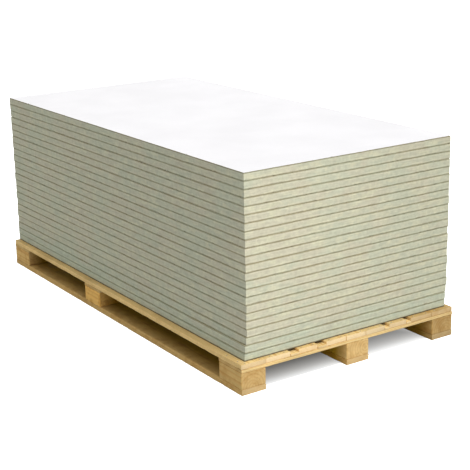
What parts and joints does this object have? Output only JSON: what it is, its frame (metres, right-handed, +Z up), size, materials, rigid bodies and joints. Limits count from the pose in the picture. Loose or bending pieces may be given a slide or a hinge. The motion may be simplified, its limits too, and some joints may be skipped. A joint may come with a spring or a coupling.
{
  "type": "loaded pallet of moisture-resistant mdf boards",
  "caption": "Flat stack of moisture-resistant MDF boards on a timber block pallet with fork ways on all four sides; sheet stock for joinery and interior building work.",
  "frame": {"origin": "on the floor, under the middle of the pallet's outline", "axes": "+X along the length of the pallet and the boards, towards the near end; +Y across them, from the front long side to the back long side; +Z up"},
  "size_m": [2.478, 1.282, 1.024],
  "materials": {
    "mdf_board": "matt, sanded faces and sawn edges",
    "pallet_timber": "rough-sawn softwood"
  },
  "bodies": {
    "root": {"bearer_far": "pallet_timber", "bearer_middle": "pallet_timber", "bearer_near": "pallet_timber", "block_far_back": "pallet_timber", "block_far_front": "pallet_timber", "block_far_middle": "pallet_timber", "block_middle_back": "pallet_timber", "block_middle_front": "pallet_timber", "block_middle_middle": "pallet_timber", "block_near_back": "pallet_timber", "block_near_front": "pallet_timber", "block_near_middle": "pallet_timber", "board_01": "mdf_board", "board_02": "mdf_board", "board_03": "mdf_board", "board_04": "mdf_board", "board_05": "mdf_board", "board_06": "mdf_board", "board_07": "mdf_board", "board_08": "mdf_board", "board_09": "mdf_board", "board_10": "mdf_board", "board_11": "mdf_board", "board_12": "mdf_board", "board_13": "mdf_board", "board_14": "mdf_board", "board_15": "mdf_board", "board_16": "mdf_board", "board_17": "mdf_board", "board_18": "mdf_board", "board_19": "mdf_board", "board_20": "mdf_board", "board_21": "mdf_board", "board_22": "mdf_board", "board_23": "mdf_board", "deck_plank_1": "pallet_timber", "deck_plank_2": "pallet_timber", "deck_plank_3": "pallet_timber", "deck_plank_4": "pallet_timber", "deck_plank_5": "pallet_timber", "deck_plank_6": "pallet_timber", "deck_plank_7": "pallet_timber", "deck_plank_8": "pallet_timber", "deck_plank_9": "pallet_timber", "skid_back": "pallet_timber", "skid_front": "pallet_timber", "skid_middle": "pallet_timber"}
  },
  "joints": []
}
